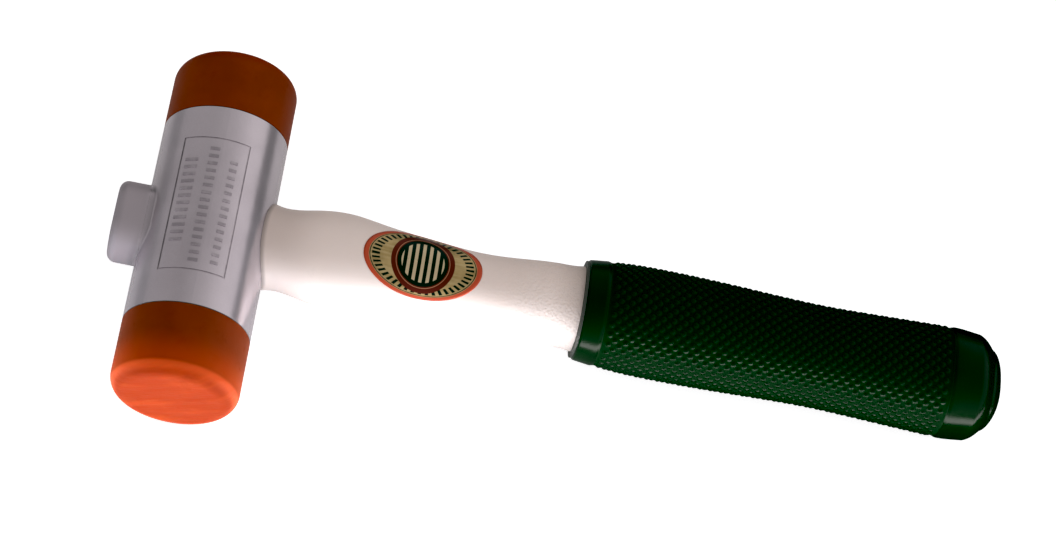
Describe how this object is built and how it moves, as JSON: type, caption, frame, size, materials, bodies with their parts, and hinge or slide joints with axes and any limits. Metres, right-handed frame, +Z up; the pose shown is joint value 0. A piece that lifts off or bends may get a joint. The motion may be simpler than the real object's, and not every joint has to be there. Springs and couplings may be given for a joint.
{
  "type": "dead blow mallet",
  "caption": "Two-faced dead blow mallet: round metal head with screw-in plastic faces, loose shot sealed in two canisters inside, oval moulded handle with a dotted rubber grip.",
  "frame": {"origin": "centre of the eye, where the handle's axis crosses the head's axis", "axes": "+X along the handle to the butt, +Y along the head's axis to the upper face, +Z up from the bench with the mallet lying on its side"},
  "size_m": [0.3178, 0.1298, 0.0442],
  "materials": {
    "head_paint": "satin silver-grey paint on a light-alloy casting",
    "face_plastic": "semi-gloss orange urethane, lightly marked by use",
    "seal_rubber": "matt black",
    "canister_steel": "drawn steel",
    "shot_steel": "tumbled steel",
    "bond_resin": "amber resin",
    "handle_plastic": "satin off-white with a fine moulded pebble",
    "core_glass_fibre": "pultruded rod",
    "grip_rubber": "very dark green with raised dots",
    "label_foil": "printed foil"
  },
  "bodies": {
    "head_and_handle": {"head_casting": "head_paint", "eye_bond": "bond_resin", "handle_moulding": "handle_plastic", "handle_core_rod": "core_glass_fibre", "grip_sleeve": "grip_rubber", "handle_label": "label_foil", "upper_shot_canister": "canister_steel", "upper_canister_lid": "canister_steel", "upper_buffer_ring": "seal_rubber", "lower_shot_canister": "canister_steel", "lower_canister_lid": "canister_steel", "lower_buffer_ring": "seal_rubber"},
    "upper_ring_carrier": {"upper_o_ring": "seal_rubber"},
    "upper_screw_face": {"upper_face": "face_plastic"},
    "upper_shot_charge": {"upper_shot": "shot_steel"},
    "lower_ring_carrier": {"lower_o_ring": "seal_rubber"},
    "lower_screw_face": {"lower_face": "face_plastic"},
    "lower_shot_charge": {"lower_shot": "shot_steel"}
  },
  "joints": [
    {"name": "upper_face_travel", "type": "slide", "parent": "head_and_handle", "child": "upper_ring_carrier", "axis": [0, 1, 0], "range_m": [0, 0.0111]},
    {"name": "upper_face_unscrew", "type": "hinge", "parent": "upper_ring_carrier", "child": "upper_screw_face", "pos_m": [0, 0.05, 0], "axis": [0, 1, 0], "range_deg": [0, 990]},
    {"name": "upper_shot_slide", "type": "slide", "parent": "head_and_handle", "child": "upper_shot_charge", "axis": [0, 1, 0], "range_m": [-0.0037, 0.0037]},
    {"name": "lower_face_travel", "type": "slide", "parent": "head_and_handle", "child": "lower_ring_carrier", "axis": [0, -1, 0], "range_m": [0, 0.0111]},
    {"name": "lower_face_unscrew", "type": "hinge", "parent": "lower_ring_carrier", "child": "lower_screw_face", "pos_m": [0, -0.05, 0], "axis": [0, -1, 0], "range_deg": [0, 990]},
    {"name": "lower_shot_slide", "type": "slide", "parent": "head_and_handle", "child": "lower_shot_charge", "axis": [0, -1, 0], "range_m": [-0.0037, 0.0037]}
  ],
  "couplings": [
    {"joint": "upper_face_travel", "follows": "upper_face_unscrew", "m_per_rad": 0.00063662},
    {"joint": "lower_face_travel", "follows": "lower_face_unscrew", "m_per_rad": 0.00063662}
  ]
}
